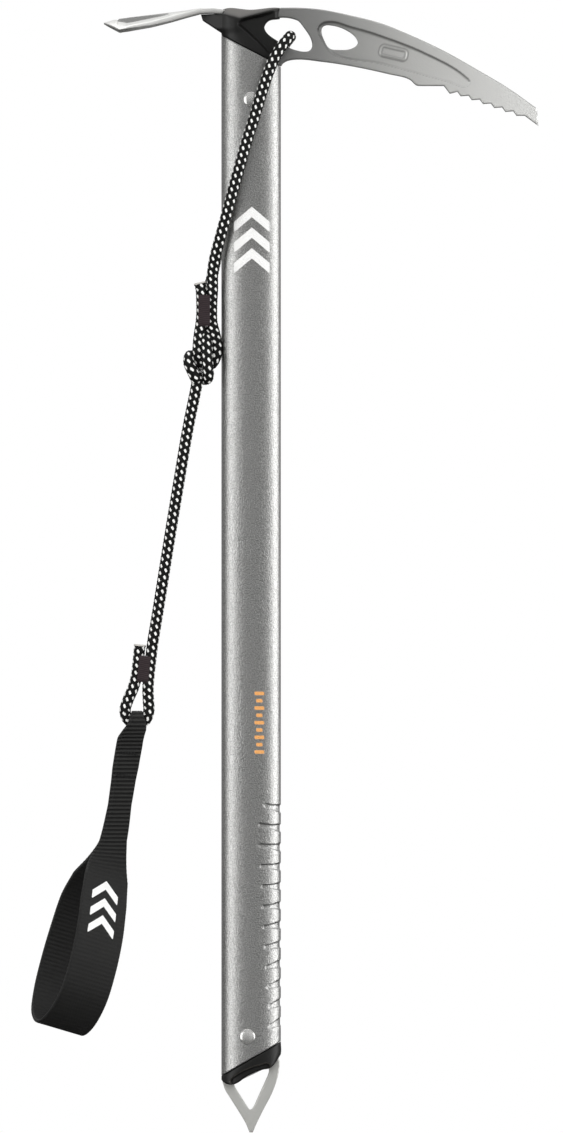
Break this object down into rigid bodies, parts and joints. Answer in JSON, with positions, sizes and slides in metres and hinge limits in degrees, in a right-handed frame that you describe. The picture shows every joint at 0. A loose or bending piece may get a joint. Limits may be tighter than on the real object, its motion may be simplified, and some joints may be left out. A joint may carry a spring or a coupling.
{
  "type": "ice axe",
  "caption": "Straight-shafted ice axe with forged pick and adze, slanted spike with an eye, and a cord leash ending in a webbing wrist loop.",
  "frame": {"origin": "top of the head on the shaft's axis, where the hand holds it", "axes": "+Z along the shaft from the spike up to the head, +X towards the pick, +Y from the front side to the back side"},
  "size_m": [0.2707, 0.0514, 0.5998],
  "materials": {
    "satin_aluminium": "sandblasted and clear anodised",
    "forged_steel": "forged, blasted, edges ground",
    "black_plastic": "moulded, fine texture",
    "rivet_aluminium": "smooth",
    "black_cord": "braided sheath with white flecks",
    "maroon_thread": "dense zigzag thread",
    "black_webbing": "ribbed woven webbing"
  },
  "bodies": {
    "axe": {"shaft": "satin_aluminium", "head": "forged_steel", "head_cap_front": "black_plastic", "head_cap_back": "black_plastic", "head_rivet": "rivet_aluminium", "spike": "forged_steel", "spike_collar": "black_plastic", "spike_rivet": "rivet_aluminium"},
    "noose": {"noose_cord": "black_cord", "noose_tack": "maroon_thread", "stopper_knot": "black_cord"},
    "leash": {"leash_cord": "black_cord", "leash_tack": "maroon_thread"},
    "strap": {"wrist_strap": "black_webbing", "strap_tack_upper_front": "black_webbing", "strap_tack_upper_back": "black_webbing", "strap_tack_lower_front": "black_webbing", "strap_tack_lower_back": "black_webbing"}
  },
  "joints": [
    {"name": "noose_swing", "type": "hinge", "parent": "axe", "child": "noose", "pos_m": [0.0208, 0, -0.0154], "axis": [0, 1, 0], "range_deg": [0, 60]},
    {"name": "leash_swing", "type": "hinge", "parent": "noose", "child": "leash", "pos_m": [-0.0276, -0.003, -0.1962], "axis": [0, 1, 0], "range_deg": [-9, 80]},
    {"name": "strap_swing", "type": "hinge", "parent": "leash", "child": "strap", "pos_m": [-0.0609, 0, -0.3816], "axis": [1, 0, 0], "range_deg": [-60, 60]}
  ]
}
